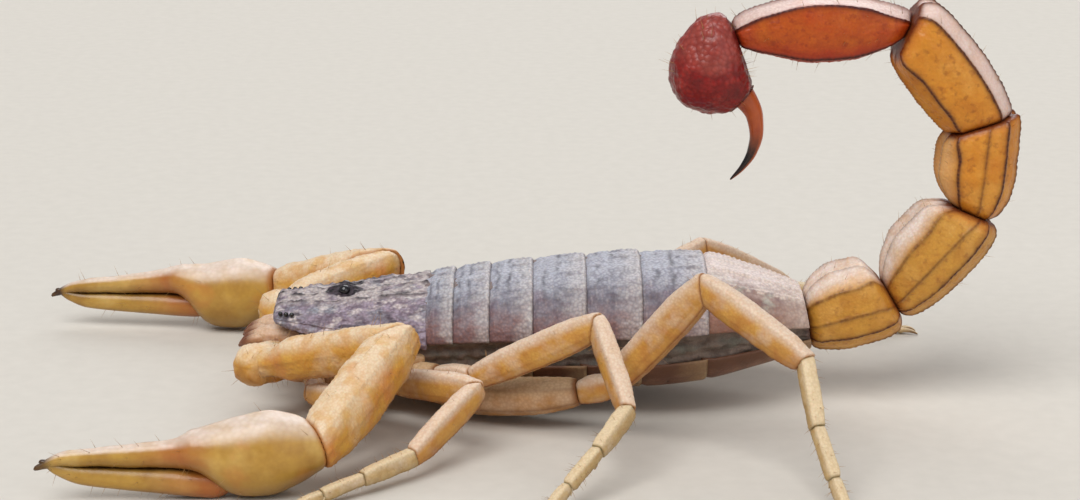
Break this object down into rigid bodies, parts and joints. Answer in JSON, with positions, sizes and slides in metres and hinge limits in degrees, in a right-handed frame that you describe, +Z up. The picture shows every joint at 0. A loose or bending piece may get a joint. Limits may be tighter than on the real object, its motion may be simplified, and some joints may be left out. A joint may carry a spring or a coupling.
{
  "type": "indian red scorpion",
  "caption": "Life-size still model of an Indian red scorpion, pincers spread on the floor and tail curled over its back.",
  "frame": {"origin": "middle of the whole model's bounding box, on the floor that it stands on", "axes": "+Z up, the head points along -X, the animal's left side along -Y"},
  "size_m": [0.0596, 0.0446, 0.0241],
  "materials": {
    "shield": "granular horn-like shell of the head, mauve grey with dark grains, satin",
    "back": "granular shell plates of the back, lilac grey with pale rear rims, satin",
    "breast": "smooth tan shell of the breast and hips, satin",
    "jaw": "smooth pinkish tan shell with dark tips, satin gloss",
    "eye": "black, glossy",
    "arm": "golden tan shell with darker keels, satin gloss",
    "hand": "smooth golden shell, redder on the fingers, glossy",
    "leg": "thin straw to orange shell, satin",
    "foot": "thin pale straw shell, satin",
    "comb": "soft pale straw shell, matt",
    "tail": "amber orange shell with dark brown keels, satin gloss",
    "tail_end": "red brown shell with darker keels, satin gloss",
    "bulb": "dark crimson shell, glossy",
    "sting": "red brown shell that turns black at the point, glossy"
  },
  "bodies": {
    "root": {"carapace": "shield", "coxosternum": "breast", "eye_median_left": "eye", "eye_median_right": "eye", "chelicera_left": "jaw", "chelicera_right": "jaw", "mesosoma_1": "back", "mesosoma_2": "back", "mesosoma_3": "back", "mesosoma_4": "back", "mesosoma_5": "back", "mesosoma_6": "back", "mesosoma_7": "back", "pecten_left": "comb", "pecten_right": "comb", "metasoma_1": "tail", "metasoma_2": "tail", "metasoma_3": "tail", "metasoma_4": "tail", "metasoma_5": "tail_end", "vesicle": "bulb", "aculeus": "sting", "pedipalp_left_trochanter": "arm", "pedipalp_left_femur": "arm", "pedipalp_left_patella": "arm", "pedipalp_left_hand": "hand", "pedipalp_left_finger": "hand", "pedipalp_right_trochanter": "arm", "pedipalp_right_femur": "arm", "pedipalp_right_patella": "arm", "pedipalp_right_hand": "hand", "pedipalp_right_finger": "hand", "leg_1_left_femur": "leg", "leg_1_left_patella": "leg", "leg_1_left_foot": "foot", "leg_1_right_femur": "leg", "leg_1_right_patella": "leg", "leg_1_right_foot": "foot", "leg_2_left_femur": "leg", "leg_2_left_patella": "leg", "leg_2_left_foot": "foot", "leg_2_right_femur": "leg", "leg_2_right_patella": "leg", "leg_2_right_foot": "foot", "leg_3_left_femur": "leg", "leg_3_left_patella": "leg", "leg_3_left_foot": "foot", "leg_3_right_femur": "leg", "leg_3_right_patella": "leg", "leg_3_right_foot": "foot", "leg_4_left_femur": "leg", "leg_4_left_patella": "leg", "leg_4_left_foot": "foot", "leg_4_right_femur": "leg", "leg_4_right_patella": "leg", "leg_4_right_foot": "foot"}
  },
  "joints": []
}
